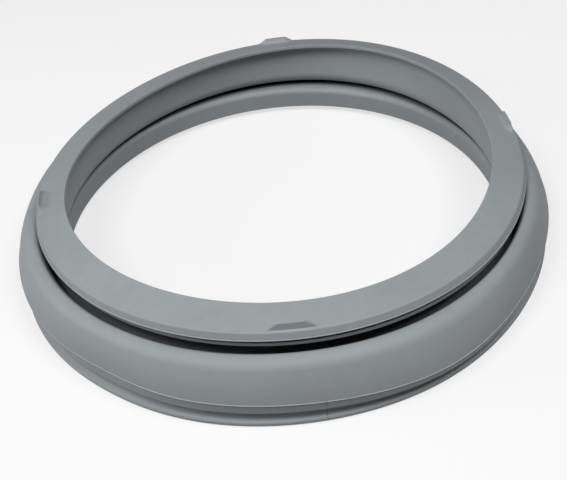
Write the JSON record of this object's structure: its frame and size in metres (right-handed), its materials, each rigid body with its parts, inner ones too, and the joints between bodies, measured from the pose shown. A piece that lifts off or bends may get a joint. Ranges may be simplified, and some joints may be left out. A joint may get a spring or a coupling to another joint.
{
  "type": "washing machine door seal",
  "caption": "Moulded grey rubber door seal: a round bellows ring with a sloping lip, clamp wire slit, fold and tub-side bead.",
  "frame": {"origin": "bottom centre of the ring, in the plane of the tub side that it rests on", "axes": "+Z along the ring's axis, from the tub side up to the door side; the tab nearest the viewer is towards -Y"},
  "size_m": [0.3788, 0.3788, 0.0609],
  "materials": {
    "grey_rubber": "satin"
  },
  "bodies": {
    "root": {"door_seal": "grey_rubber"}
  },
  "joints": []
}
